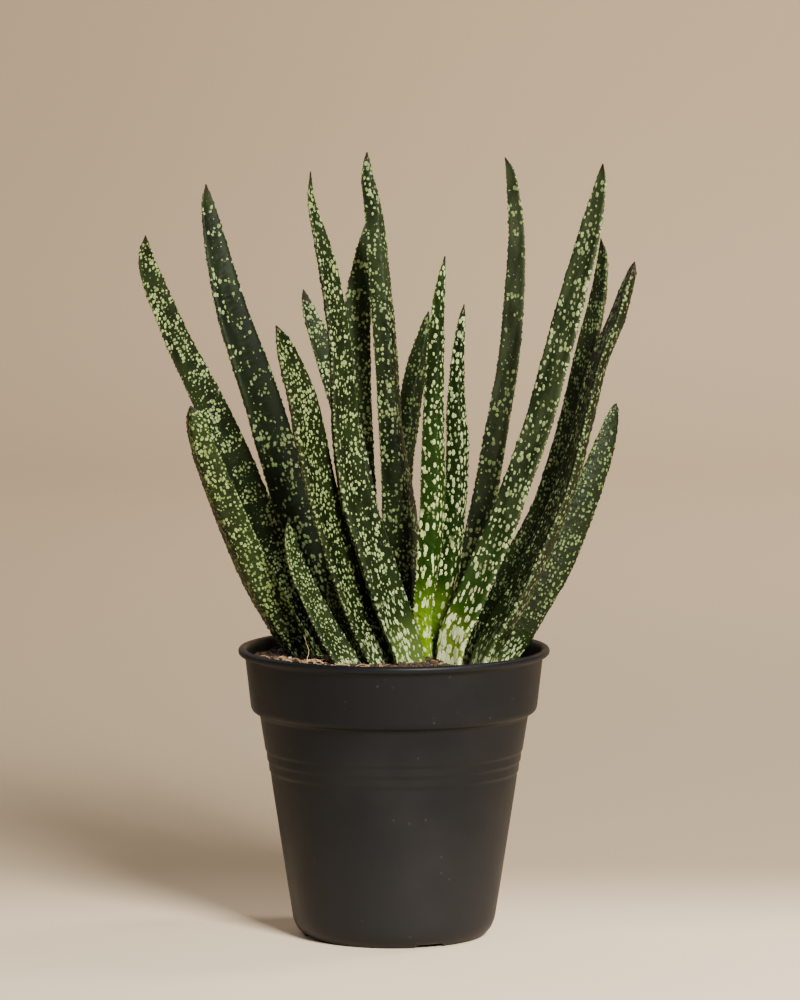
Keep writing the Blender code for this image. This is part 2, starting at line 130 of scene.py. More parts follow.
# Each leaf: name, roll in degrees, and its path as (x, y, height, half-width) in mm from base to tip.
LEAVES = (
    ("leaf_left_tall", -60, (
        (-31, 17, 97, 6.2), (-42, 15, 134, 6.6), (-54.5, 11, 165.5, 6.7), (-68, 4, 197.5, 6.4),
        (-82.5, -8, 229, 5.1), (-91.5, -17, 252, 4.2), (-94, -21, 262, 3.0), (-94, -24, 270, 0.2),
    )),
    ("leaf_left_short", 60, (
        (-28, 5, 97, 6.2), (-43.5, 1, 120, 6.8), (-55.5, -5, 144, 7.2), (-68, -16, 176, 6.2),
        (-73.5, -22, 192, 5.1), (-75.5, -25, 200.5, 3.7), (-77, -27, 205.5, 0.4),
    )),
    ("leaf_left_wide", -60, (
        (-17, 31, 97, 7.6), (-25, 30, 117, 8.5), (-35.5, 29.5, 148, 8.5), (-44.5, 29.5, 179.5, 8.2),
        (-54, 30, 210.5, 7.6), (-62, 31, 234, 6.6), (-68, 32.5, 257, 5.2), (-72, 33.5, 277, 2.9),
        (-73, 34, 286.5, 0.2),
    )),
    ("leaf_front_left_mid", -38, (
        (0, -11, 97, 7.0), (-11.5, -13, 122, 7.7), (-20, -16, 145.5, 7.7), (-26.5, -20, 169, 7.9),
        (-31.5, -24, 192.5, 8.0), (-34.5, -27, 208, 7.2), (-39.5, -30, 223, 5.2),
        (-42, -32, 230.5, 3.2), (-44.5, -33, 236.5, 0.3),
    )),
    ("leaf_offset_front", -40, (
        (-12, -21, 97, 5.2), (-23, -20, 115, 5.6), (-31, -20, 130.5, 4.8), (-37, -21, 144, 3.9),
        (-39.5, -22.5, 154, 2.7), (-40.5, -24, 161.5, 0.2),
    )),
    ("leaf_offset_back", -40, (
        (-10, -2, 97, 4.0), (-17, -4, 113, 4.3), (-20.5, -6, 121, 4.3), (-23, -7, 129, 3.5),
        (-25.5, -8, 136.5, 0.2),
    )),
    ("leaf_back_left", -62, (
        (-2, 12, 97, 5.0), (-7, 12.5, 126.5, 5.5), (-12, 13, 165.5, 5.3), (-17.5, 13.5, 192.5, 4.9),
        (-23.5, 14, 212, 4.5), (-28.5, 14, 227.5, 3.9), (-32, 14, 236.5, 2.9),
        (-34, 14, 243, 1.6), (-35, 14, 247, 0.2),
    )),
    ("leaf_front_left_tall", -38, (
        (9, -13, 97, 7.2), (4, -13, 114, 8.2), (-1.5, -14, 129.5, 8.8), (-9, -15, 153, 8.8),
        (-14, -16.5, 168.5, 8.3), (-17.5, -18.5, 188, 7.3), (-19, -20.5, 207, 6.5),
        (-20.5, -22.5, 230, 5.6), (-24, -24.5, 253, 4.9), (-27.5, -26, 268.5, 3.6),
        (-31, -27, 282.5, 1.9), (-31.5, -28, 294.5, 0.2),
    )),
    ("leaf_back_mid", -90, (
        (-3, 38, 97, 4.3), (-9, 38, 123.5, 4.7), (-12, 39, 162.5, 4.9), (-14, 41, 202, 5.0),
        (-14.5, 43, 225, 5.1), (-14, 44.5, 240.5, 4.8), (-12, 46.5, 256, 3.5),
        (-10.5, 48, 266, 2.1), (-9, 50, 274.5, 0.2),
    )),
    ("leaf_tallest", 115, (
        (7, 23, 97, 5.0), (4.5, 23, 125.5, 6.4), (2.5, 24, 154, 7.3), (1, 25, 172, 6.0),
        (-1, 25.5, 189, 4.9), (-2, 26, 203, 4.7), (-3.5, 27, 226.5, 4.6), (-5.5, 28.5, 249.5, 4.4),
        (-7.5, 30, 272.5, 3.7), (-10, 31, 287.5, 2.6), (-10.5, 31.5, 294.5, 1.4),
        (-10.5, 32, 299, 0.2),
    )),
    ("leaf_back_centre", 100, (
        (7, 41, 97, 4.3), (3.5, 41.5, 123.5, 4.6), (2, 42, 154.5, 4.7), (3, 43, 178, 4.5),
        (5.5, 45, 193.5, 4.3), (7.5, 47.5, 207, 4.1), (9.5, 49.5, 216.5, 3.7),
        (11.5, 51.5, 224.5, 2.8), (12.5, 53, 231, 1.5), (13.5, 54, 235.5, 0.2),
    )),
    ("leaf_young_centre", 110, (
        (13, 2, 97, 3.0), (11, 1.5, 120, 3.4), (12.5, 0.5, 136, 4.1), (14, 0, 151.5, 4.8),
        (15, -0.5, 170.5, 4.9), (15, -1, 190, 4.4), (15.5, -2, 213.5, 3.7), (16.5, -3.5, 236.5, 2.7),
        (18, -4.5, 251, 1.6), (19.5, -5, 261, 0.2),
    )),
    ("leaf_young_right", 110, (
        (16, 10, 97, 2.8), (17.5, 9.5, 119, 3.5), (20.5, 10, 134.5, 4.1), (22.5, 10, 150, 4.2),
        (24, 10, 169.5, 4.4), (24.5, 10, 189, 4.4), (24, 10, 200, 3.8), (24, 10, 208, 3.1),
        (24.5, 10, 220, 2.5), (26, 10, 234.5, 1.4), (27, 10, 241.5, 0.2),
    )),
    ("leaf_back_right_tall", 240, (
        (22, 20, 97, 4.8), (26.5, 20, 121.5, 5.2), (32, 20.5, 149, 5.4), (36.5, 21.5, 172.5, 5.0),
        (40.5, 22.5, 195.5, 4.7), (44.5, 24.5, 219, 4.4), (46.5, 26, 242, 4.2),
        (47.5, 28, 265, 3.5), (46.5, 29, 280.5, 2.7), (45, 29.5, 291, 1.8), (43, 30, 297, 0.2),
    )),
    ("leaf_right_tall", 225, (
        (20.5, -7, 97, 6.0), (22.5, -7, 113.5, 6.8), (29, -8, 129, 7.0), (35.5, -9, 144.5, 7.0),
        (42, -10.5, 160, 6.6), (47.5, -12, 176, 6.4), (55.5, -14, 199, 6.5), (61.5, -16, 222, 6.5),
        (67.5, -18, 245, 6.1), (73.5, -19.5, 268, 5.2), (77, -20.5, 283, 3.6),
        (78.5, -20.5, 291.5, 2.1), (79, -21, 297, 0.2),
    )),
    ("leaf_right_shaded", 215, (
        (25.5, 8, 97, 5.8), (31.5, 8.5, 111.5, 6.8), (38.5, 9.5, 127, 7.0), (47.5, 10.5, 142.5, 7.0),
        (56, 12, 158, 6.8), (61.5, 13.5, 173, 6.6), (68, 16, 196, 6.2), (73.5, 19, 221, 5.6),
        (77, 21.5, 235.5, 4.9), (79.5, 23.5, 248, 4.0), (80.5, 25, 258.5, 2.6), (80, 26, 266, 0.2),
    )),
    ("leaf_right_outer", 200, (
        (29, -21, 97, 6.8), (36, -18, 115, 7.8), (45, -15.5, 130, 7.6), (52.5, -13.5, 145, 7.2),
        (59.5, -11.5, 160.5, 6.6), (65.5, -9.5, 175.5, 6.2), (72, -6, 200, 5.8),
        (77.5, -2, 221, 5.5), (84, 2, 236, 5.3), (88, 6, 247, 4.2), (91, 9, 254.5, 2.6),
        (92.5, 10, 258, 0.2),
    )),
    ("leaf_right_short", 150, (
        (36.5, 8, 97, 6.2), (46.5, 8.5, 111.5, 7.0), (55.5, 9.5, 127, 7.4), (64, 11, 142.5, 7.4),
        (70, 13, 157.5, 7.4), (75.5, 15, 172, 7.1), (80.5, 17, 185.5, 5.9), (83.5, 18, 195, 4.0),
        (85, 18.5, 200, 2.2), (86, 19, 202.5, 0.2),
    )),
)

YOUNG_LEAVES = {"offset_front", "offset_back", "young_centre", "young_right"}

# A leaf's skin, and below it what sets each leaf apart. Distances in mm, colours linear.
PLAIN_SKIN = {
    # The mottled skin's dark and light tones, and its spots.
    "skin": (0.0037, 0.0066, 0.0013),
    "lit": (0.0100, 0.0168, 0.0040),
    "spot": (0.2356, 0.3084, 0.1157),
    # Distance between spots, and their radius and their distance along the leaf against it.
    "spread": 1.75,
    "size": 0.38,
    "stretch": 1.35,
    # How clearly the spots form bands, and how far they thin out towards the tip.
    "banding": 0.6,
    "bareness": 0.0,
    # The brown tip, and the share of the length where it starts.
    "tip": (0.010, 0.006, 0.004),
    "tip_from": 0.975,
    # The paler base, its spots, and how far up it reaches.
    "base_skin": (0.0092, 0.0185, 0.0020),
    "base_spot": (0.40, 0.46, 0.22),
    "base_height": 36.0,
    # Its palest part at the soil, how far up that reaches, and how much wider the spots are there.
    "heart": (0.030, 0.046, 0.010),
    "cream_height": 18.0,
    "cream": 0.06,
    # Distance between the base's streaks against that between spots.
    "streak_gap": 0.86,
}
OFFSET_SKIN = {
    "skin": (0.0055, 0.0098, 0.0019), "lit": (0.0125, 0.0215, 0.0041), "spread": 1.1, "banding": 0.3,
}
SKINS = {
    "left_tall": {"spread": 1.3, "size": 0.39, "stretch": 1.15, "banding": 0.75},
    "left_short": {
        "skin": (0.0052, 0.0090, 0.0015), "lit": (0.0125, 0.0215, 0.0037),
        "spot": (0.2185, 0.2958, 0.0920), "spread": 1.2, "size": 0.42, "banding": 0.35,
    },
    "left_wide": {"spread": 1.6, "size": 0.37, "banding": 1.0, "bareness": 0.06, "base_height": 60.0},
    "front_left_mid": {
        "lit": (0.0090, 0.0145, 0.0027), "spot": (0.2090, 0.2754, 0.0966),
        "spread": 1.3, "size": 0.39, "banding": 0.4,
        "base_skin": (0.0090, 0.0150, 0.0022), "heart": (0.018, 0.028, 0.006), "cream_height": 26.0,
    },
    "offset_front": OFFSET_SKIN,
    "offset_back": OFFSET_SKIN,
    "back_left": {"spread": 1.3, "tip": (0.012, 0.008, 0.004), "tip_from": 0.955},
    "front_left_tall": {
        "spread": 1.5, "banding": 0.5, "tip_from": 0.97,
        "base_skin": (0.0060, 0.0150, 0.0014), "base_height": 62.0,
        "heart": (0.055, 0.085, 0.014), "cream_height": 30.0, "cream": 0.08,
    },
    "back_mid": {
        "skin": (0.0075, 0.0135, 0.0026), "lit": (0.0175, 0.0300, 0.0065),
        "spot": (0.2900, 0.3700, 0.1400), "spread": 1.4,
    },
    "tallest": {
        "skin": (0.0055, 0.0090, 0.0026), "lit": (0.0160, 0.0245, 0.0078), "spread": 1.45,
        "base_skin": (0.0084, 0.0094, 0.0030),
    },
    "back_centre": {
        "skin": (0.0070, 0.0112, 0.0023), "lit": (0.0145, 0.0230, 0.0052),
        "spot": (0.1140, 0.1542, 0.0511), "spread": 1.4, "size": 0.36,
    },
    "young_centre": {
        "skin": (0.0042, 0.0100, 0.0013), "lit": (0.0083, 0.0220, 0.0019),
        "spot": (0.3496, 0.4284, 0.1770), "spread": 1.5, "size": 0.37, "stretch": 1.7, "banding": 0.15,
        "base_skin": (0.0080, 0.0300, 0.0003), "base_spot": (0.62, 0.68, 0.29), "base_height": 118.0,
        "heart": (0.105, 0.195, 0.001), "cream_height": 44.0, "cream": 0.0, "streak_gap": 1.15,
    },
    "young_right": {
        "skin": (0.0024, 0.0055, 0.0006), "lit": (0.0046, 0.0112, 0.0010),
        "spot": (0.3192, 0.4027, 0.1702), "spread": 1.45, "size": 0.40, "stretch": 1.7, "banding": 0.15,
        "base_skin": (0.0070, 0.0250, 0.0003), "base_spot": (0.60, 0.66, 0.29), "base_height": 96.0,
        "heart": (0.095, 0.180, 0.001), "cream_height": 40.0, "cream": 0.0, "streak_gap": 1.15,
    },
    "back_right_tall": {
        "skin": (0.0125, 0.0175, 0.0075), "lit": (0.0330, 0.0430, 0.0200),
        "spread": 1.7, "size": 0.37, "banding": 0.7, "bareness": 0.05,
        "base_skin": (0.0168, 0.0437, 0.0020), "base_height": 62.0,
    },
    "right_tall": {
        "skin": (0.0090, 0.0150, 0.0048), "lit": (0.0310, 0.0430, 0.0175),
        "spot": (0.3040, 0.3856, 0.1566), "spread": 1.95, "banding": 0.5, "bareness": 0.03,
        "base_skin": (0.0120, 0.0380, 0.0006), "base_spot": (0.64, 0.66, 0.35), "base_height": 84.0,
        "heart": (0.11, 0.17, 0.012), "cream_height": 32.0, "cream": 0.20, "streak_gap": 0.95,
    },
    "right_shaded": {
        "skin": (0.0060, 0.0094, 0.0027), "lit": (0.0140, 0.0210, 0.0057),
        "spot": (0.1520, 0.1971, 0.0749), "spread": 1.35, "size": 0.37,
    },
    "right_outer": {
        "lit": (0.0066, 0.0113, 0.0026), "spot": (0.17, 0.22, 0.085), "spread": 1.55, "size": 0.36,
        "tip": (0.026, 0.013, 0.009), "tip_from": 0.95,
        "base_height": 40.0, "cream_height": 24.0, "cream": 0.10,
    },
    "right_short": {
        "skin": (0.0052, 0.0094, 0.0017), "lit": (0.0081, 0.0140, 0.0027),
        "spot": (0.13, 0.18, 0.065), "spread": 1.3, "size": 0.35, "banding": 0.5,
    },
}
LEAF_SPECULAR = 0.11

# The leaf's mesh: steps in a span where lengths are measured, fewest rings, thinnest half-width
# in mm, spans on each side for its direction, and the bake map's edge.
SPAN_STEPS = 24
FEWEST_RINGS = 8
THINNEST = 0.04
TANGENT_SPAN = 0.05
MAP_EDGE = 0.01

# Its relief: half-width in mm under which it fades out, the broad swelling with its grain across
# and along the leaf, and the warts with theirs.
FULL_RELIEF_WIDTH = 2.0
SWELL = 0.035
SWELL_GRAIN = 0.12
SWELL_GRAIN_ALONG = 0.06
WART_GRAIN = 0.85
WART_FROM = 0.06
WART_HEIGHT = 0.75 * MM

# The beads along the margins: ranges in mm for the first one's place, the widths and the gaps,
# and the range of their strengths.
BEAD_START = (0.5, 2.0)
BEAD_WIDTH = (0.42, 0.72)
BEAD_GAP = (1.4, 2.4)
BEAD_STRENGTH = (0.45, 1.0)

# Distance in mm between two leaves' places in the pattern, so that no two are alike.
LEAF_PATTERN_GAP = 331.0

# The litter: radius it stays in, and how far bark and roots lie above the mix.
LITTER_RADIUS = 53.0 * MM
LITTER_LIFT = 0.4 * MM

# Grains: ranges in mm of their sizes, ranges of their length, width and unevenness against the
# size, how far they tilt in radians, and how far they stand out of the mix against their height.
CRUMB_SIZES = (0.35, 1.25)
GRIT_COUNT = 46
GRIT_SIZES = (0.45, 1.15)
GRAIN_LENGTHS = (0.7, 1.5)
GRAIN_WIDTHS = (0.6, 1.1)
GRAIN_UNEVEN = (0.75, 1.25)
GRAIN_TILT = 0.5
GRAIN_LIFT = 0.4

# Chips of bark: ranges in mm of their length, width and thickness, and the one that stands up.
CHIP_COUNT = 34
CHIP_SIZES = ((1.5, 5.0), (0.8, 2.2), (0.4, 0.9))
CHIP_UNEVEN = (0.8, 1.15)
CHIP_TILT = 0.4
CHIP_BEVEL = 0.12 * MM
UPRIGHT_CHIP_PLACE = (-5.5 * MM, -36.0 * MM)
UPRIGHT_CHIP_SIZE = (1.4 * MM, 0.9 * MM, 7.5 * MM)
UPRIGHT_CHIP_TURN = (0.1, 0.1, 0.4)

# Roots: length and number of their steps, how far they turn at each, their waves, and ranges in mm
# of their arches and radii. Then the share that lies in a clump, and the clump's reach in mm.
ROOT_STEP = 1.5 * MM
ROOT_STEPS = (7, 15)
ROOT_TURN = 0.32
ROOT_WAVE = 0.6
ROOT_TAPER = 0.7
ROOT_ARCH = (0.1, 0.7)
ROOT_THICKNESS = (0.08, 0.18)
CLUMP_ARCH = (0.1, 2.6)
CLUMP_THICKNESS = (0.14, 0.34)
CLUMP_SHARE = 0.4
CLUMP_REACH = ((-42, -22), (-36, -14))
STRAY_ROOT = (
    (-32.5, -27, 106.0), (-33.6, -27, 109.5), (-32.0, -27, 113.0), (-33.4, -28, 116.5), (-34.0, -28, 119.0),
)

# Finishes of the litter: dark and light colour, scale of the mottling and roughness.
LITTER = {
    "Peat crumbs": ((0.012, 0.006, 0.003), (0.085, 0.040, 0.018), 350.0, 0.9),
    "White grit": ((0.50, 0.46, 0.40), (0.80, 0.77, 0.71), 300.0, 0.9),
    "Bark chips": ((0.080, 0.036, 0.015), (0.36, 0.19, 0.075), 300.0, 0.85),
    "Dry roots": ((0.24, 0.125, 0.052), (0.60, 0.39, 0.19), 240.0, 0.8),
}

# The backdrop: width, length, the flat part and how far it starts before the plant, and the bend.
BACKDROP_WIDTH = 12.0
BACKDROP_LENGTH = 9.0
BACKDROP_FLAT = 4.4
BACKDROP_FRONT = 2.6
BACKDROP_BEND = 0.9

# Painted shade on the paper, where it is dimmer, standing in for the light falling off behind the plant and
# at the left: axis, start, end, strength there, and its tone against the paper's.
BACKDROP_PAINTED_SHADE = (
    ("Y", -0.02, 0.17, 1.0, (0.465, 0.450, 0.420)),
    ("Y", 0.3, 1.6, 1.0, (0.62, 0.59, 0.54)),
    ("Y", 2.1, 2.55, 1.0, (0.53, 0.495, 0.43)),
    ("X", 0.20, -0.35, 0.44, (0.36, 0.34, 0.30)),
)

# Lights: name, place, aim, share of the key light's power, size and colour.
LIGHTS = (
    ("Key", (0.72, -1.50, 1.13), (0, 0, 0.15), 1.0, 0.55, (1.0, 0.985, 0.93)),
    ("Fill", (-1.6, -1.3, 0.9), (0, 0, 0.15), 0.02, 1.2, (0.92, 0.97, 1.06)),
    ("Back", (-1.3, 1.5, 1.7), (0, 0, 0.15), 0.10, 1.4, (1.0, 0.97, 0.94)),
    ("Wall", (1.5, 0.6, 2.0), (0.3, 3.2, 0.9), 0.70, 1.0, (1.0, 0.96, 0.90)),
)
SKY_COLOUR = (0.86, 0.95, 1.14)

# The camera stands where the photograph was taken from, by the pot's rim and foot.
CAMERA_PLACE = (0.0023, -2.2, 0.4015)
CAMERA_DOWN_DEGREES = 6.05
CAMERA_LENS = 207.3


# ---- Settings ----


class PotSettings(bpy.types.PropertyGroup):
    """Sizes and looks of the nursery pot."""

    sides: bpy.props.IntProperty(
        name="Sides", description="Steps in one turn of the pot's wall", default=192, min=64, max=360,
    )
    plastic: bpy.props.FloatVectorProperty(
        name="Plastic", description="Colour of the moulded plastic", default=(0.0036, 0.0041, 0.0056),
        subtype="COLOR", size=3, min=0.0, max=1.0,
    )
    dust: bpy.props.FloatProperty(
        name="Dust", description="How much pale dust lies on the plastic", default=0.5,
        subtype="FACTOR", min=0.0, max=1.0,
    )


class SoilSettings(bpy.types.PropertyGroup):
    """Sizes and looks of the potting mix."""

    level: bpy.props.FloatProperty(
        name="Level", description="Height of the mix at the pot's wall, above the ground",
        default=105.2 * MM, subtype="DISTANCE", unit="LENGTH", min=0.08, max=0.112,
    )
    crumbs: bpy.props.IntProperty(
        name="Crumbs", description="Loose crumbs on the surface", default=1500, min=0, max=4000,
    )
    roots: bpy.props.IntProperty(
        name="Roots", description="Fine roots and fibres on the surface", default=70, min=0, max=400,
    )
    peat: bpy.props.FloatVectorProperty(
        name="Peat", description="Colour of the potting mix", default=(0.026, 0.0125, 0.0062),
        subtype="COLOR", size=3, min=0.0, max=1.0,
    )


class LeafSettings(bpy.types.PropertyGroup):
    """Fineness and relief of the leaves."""

    ring_gap: bpy.props.FloatProperty(
        name="Ring gap", description="Distance between a leaf's rings of points",
        default=0.5 * MM, subtype="DISTANCE", unit="LENGTH", min=0.0002, max=0.004,
    )
    sides_per_span: bpy.props.IntProperty(
        name="Sides per span", description="Points between two corners of a leaf's section",
        default=4, min=1, max=8,
    )
    bead_height: bpy.props.FloatProperty(
        name="Bead height", description="How far the horny beads stand out of a leaf's margins",
        default=0.50 * MM, subtype="DISTANCE", unit="LENGTH", min=0.0, max=0.001,
    )
    spot_relief: bpy.props.FloatProperty(
        name="Spot relief", description="How far the pale spots stand out of the skin",
        default=0.22 * MM, subtype="DISTANCE", unit="LENGTH", min=0.0, max=0.001,
    )


class StageSettings(bpy.types.PropertyGroup):
    """The pale backdrop with its painted shade, and its light."""

    paper: bpy.props.FloatVectorProperty(
        name="Backdrop", description="Colour of the floor and backdrop", default=(0.93, 0.74, 0.525),
        subtype="COLOR", size=3, min=0.0, max=1.0,
    )
    key_power: bpy.props.FloatProperty(
        name="Key light", description="Power of the soft light at the front right", default=104.0,
        subtype="POWER", unit="POWER", min=0.0, max=2000.0,
    )
    sky: bpy.props.FloatProperty(
        name="Surrounding light", description="Strength of the even light from all round", default=0.18,
        min=0.0, max=5.0,
    )


class GasteriaSettings(bpy.types.PropertyGroup):
    """All settings of the potted gasteria."""

    pot: bpy.props.PointerProperty(name="Pot", description="The nursery pot", type=PotSettings)
    soil: bpy.props.PointerProperty(name="Soil", description="The potting mix", type=SoilSettings)
    leaves: bpy.props.PointerProperty(name="Leaves", description="The leaves", type=LeafSettings)
    stage: bpy.props.PointerProperty(name="Stage", description="Backdrop and light", type=StageSettings)


# ---- Shader nodes ----


def full(colour):
    """A colour with its alpha."""
    return (colour[0], colour[1], colour[2], 1.0)


def add_node(tree, kind, spot, inputs=None, **settings):
    """Adds a node. An input given as a socket is linked, and any other value is set."""
    node = tree.nodes.new(kind)
    node.location = (spot[0] * 200, -spot[1] * 190)
    for name, value in settings.items():
        setattr(node, name, value)
    for socket, value in (inputs or {}).items():
        if isinstance(value, bpy.types.NodeSocket):
            tree.links.new(value, node.inputs[socket])
        else:
            node.inputs[socket].default_value = value
    return node


def maths(tree, operation, spot, first, second=0.5, third=0.5):
    """Adds a Math node and returns its result."""
    inputs = {0: first, 1: second, 2: third}
    return add_node(tree, "ShaderNodeMath", spot, inputs, operation=operation).outputs[0]


def vector_maths(tree, operation, spot, *values):
    """Adds a Vector Math node and returns its vector."""
    inputs = dict(enumerate(values))
    return add_node(tree, "ShaderNodeVectorMath", spot, inputs, operation=operation).outputs[0]


def ease(tree, spot, value, low, high, start=0.0, end=1.0):
    """A soft step: start at low, end at high."""
    inputs = {"Value": value, "From Min": low, "From Max": high, "To Min": start, "To Max": end}
    node = add_node(tree, "ShaderNodeMapRange", spot, inputs, interpolation_type="SMOOTHSTEP")
    return node.outputs["Result"]


def blend_colours(tree, spot, share, first, second):
    """Mixes two colours by a share from 0 to 1."""
    first, second = (end if isinstance(end, bpy.types.NodeSocket) else full(end) for end in (first, second))
    inputs = {0: share, 6: first, 7: second}
    return add_node(tree, "ShaderNodeMix", spot, inputs, data_type="RGBA").outputs[2]


def mix_values(tree, spot, share, first, second):
    """Mixes two values by a share from 0 to 1."""
    return add_node(tree, "ShaderNodeMix", spot, {0: share, 2: first, 3: second}).outputs[0]


def noise_at(tree, spot, place, scale, detail, roughness=0.5, distortion=0.0):
    """Adds a cloudy noise and returns its outputs."""
    inputs = {
        "Vector": place, "Scale": scale, "Detail": detail, "Roughness": roughness, "Distortion": distortion,
    }
    return add_node(tree, "ShaderNodeTexNoise", spot, inputs).outputs


def cells_at(tree, spot, place, scale, randomness=1.0):
    """Adds cells and returns the distance from their middles and each cell's own random values."""
    inputs = {"Vector": place, "Scale": scale, "Randomness": randomness}
    cells = add_node(tree, "ShaderNodeTexVoronoi", spot, inputs).outputs
    own = add_node(tree, "ShaderNodeSeparateColor", (spot[0] + 1, spot[1] + 1), {"Color": cells["Color"]})
    return cells["Distance"], own.outputs


def relief(tree, spot, height, strength, distance):
    """Turns a height into a normal."""
    inputs = {"Height": height, "Strength": strength, "Distance": distance}
    return add_node(tree, "ShaderNodeBump", spot, inputs).outputs["Normal"]


def start_group(name, values, results):
    """A new node group that takes a place and named values, with its inputs as sockets."""
    tree = bpy.data.node_groups.new(name, "ShaderNodeTree")
    tree.interface.new_socket(name="Place", in_out="INPUT", socket_type="NodeSocketVector")
    for label, value in values.items():
        socket = tree.interface.new_socket(name=label, in_out="INPUT", socket_type="NodeSocketFloat")
        socket.default_value = value
    for label in results:
        tree.interface.new_socket(name=label, in_out="OUTPUT", socket_type="NodeSocketFloat")
    return tree, add_node(tree, "NodeGroupInput", (-6, 0)).outputs


def pale_spots_group(name):
    """Round pale spots in irregular cross-bands, on straightened leaf coordinates in mm."""
    values = {
        "Spread": 1.75, "Size": 0.38, "Stretch": 1.35, "Banding": 0.6, "Crowding": 0.0, "Bareness": 0.0,
    }
    tree, given = start_group(name, values, ("Spots", "Rise"))
    place = given["Place"]
    ragged = noise_at(tree, (-5, 2), place, 1.1, 1.0)["Color"]
    centred = vector_maths(tree, "SUBTRACT", (-4, 2), ragged, (0.5, 0.5, 0.5))
    wobbled = vector_maths(tree, "MULTIPLY_ADD", (-3, 1), centred, (0.7, 0.7, 1.0), place)
    long_cell = maths(tree, "MULTIPLY", (-5, 4), given["Spread"], given["Stretch"])
    cell = add_node(
        tree, "ShaderNodeCombineXYZ", (-4, 4), {"X": given["Spread"], "Y": given["Spread"], "Z": long_cell},
    )
    scaled = vector_maths(tree, "DIVIDE", (-2, 1), wobbled, cell.outputs[0])
    distance, own = cells_at(tree, (-1, 1), scaled, 1.0, 0.8)
    flattened = vector_maths(tree, "MULTIPLY", (-4, 6), place, (0.075, 0.075, 0.15))
    bands = noise_at(tree, (-3, 6), flattened, 1.0, 2.0, 0.6, 0.8)["Fac"]
    level = maths(tree, "SUBTRACT", (-3, 7), bands, given["Bareness"])
    band = ease(tree, (-2, 6), level, 0.38, 0.56, -1.0, 0.12)
    weighted = maths(tree, "MULTIPLY_ADD", (-1, 6), band, given["Banding"], 1.0)
    varied = maths(tree, "MULTIPLY_ADD", (1, 3), own[0], 0.40, 0.80)
    reach = maths(tree, "MULTIPLY", (1, 5), weighted, given["Size"])
    reach = maths(tree, "MULTIPLY", (2, 4), reach, varied)
    reach = maths(tree, "ADD", (3, 4), reach, given["Crowding"])
    inside = maths(tree, "SUBTRACT", (4, 2), reach, distance)
    spots = ease(tree, (5, 1), inside, -0.035, 0.035)
    faint = ease(tree, (4, 0), own[1], 0.0, 0.75, 0.5, 1.0)
    spots = maths(tree, "MULTIPLY", (6, 1), spots, faint)
    rise = ease(tree, (5, 3), inside, -0.16, 0.16)
    add_node(tree, "NodeGroupOutput", (8, 0), {"Spots": spots, "Rise": rise})
    return tree


def leaf_skin_group(name):
    """Mottled leaf skin: how light it is, how rough, and its fine relief."""
    tree, given = start_group(name, {}, ("Lightness", "Roughness", "Relief"))
    along = vector_maths(tree, "MULTIPLY", (-4, 0), given["Place"], (0.16, 0.16, 0.05))
    cloud = noise_at(tree, (-3, 0), along, 1.0, 4.0)["Fac"]
    grain = noise_at(tree, (-3, 2), given["Place"], 3.2, 3.0, 0.6)["Fac"]
    results = {
        "Lightness": ease(tree, (-2, 0), cloud, 0.32, 0.68),
        "Roughness": ease(tree, (-2, 2), grain, 0.3, 0.7, 0.40, 0.54),
        "Relief": grain,
    }
    add_node(tree, "NodeGroupOutput", (8, 0), results)
    return tree


def dust_group(name):
    """Fine pale dust and specks on Object coordinates."""
    tree, given = start_group(name, {"Amount": 0.5}, ("Veil", "Specks"))
    cloud = noise_at(tree, (-4, 0), given["Place"], 28.0, 6.0)["Fac"]
    veil = ease(tree, (-3, 0), cloud, 0.42, 0.78)
    veil = maths(tree, "MULTIPLY", (-2, 0), veil, given["Amount"])
    distance, own = cells_at(tree, (-4, 2), given["Place"], 330.0)
    chosen = ease(tree, (-2, 3), own[0], 0.90, 0.96)
    near = ease(tree, (-2, 2), distance, 0.22, 0.08)
    specks = maths(tree, "MULTIPLY", (-1, 2), chosen, near)
    specks = maths(tree, "MULTIPLY", (0, 2), specks, given["Amount"])
    add_node(tree, "NodeGroupOutput", (8, 0), {"Veil": veil, "Specks": specks})
    return tree


GROUPS = {"Pale spots": pale_spots_group, "Leaf skin": leaf_skin_group, "Dust": dust_group}


def use_group(tree, name, spot, inputs):
    """Places a node group in a material with its own values. Its first use builds it."""
    group = bpy.data.node_groups.get(name) or GROUPS[name](name)
    return add_node(tree, "ShaderNodeGroup", spot, inputs, node_tree=group).outputs


def new_material(name):
    """An empty node material and its tree."""
    material = bpy.data.materials.new(name)
    material.use_nodes = True
    material.node_tree.nodes.clear()
    return material, material.node_tree


def add_surface(tree, inputs):
    """Closes a material with its Principled shader."""
    shader = add_node(tree, "ShaderNodeBsdfPrincipled", (7, 0), inputs)
    add_node(tree, "ShaderNodeOutputMaterial", (9, 0), {"Surface": shader.outputs[0]})


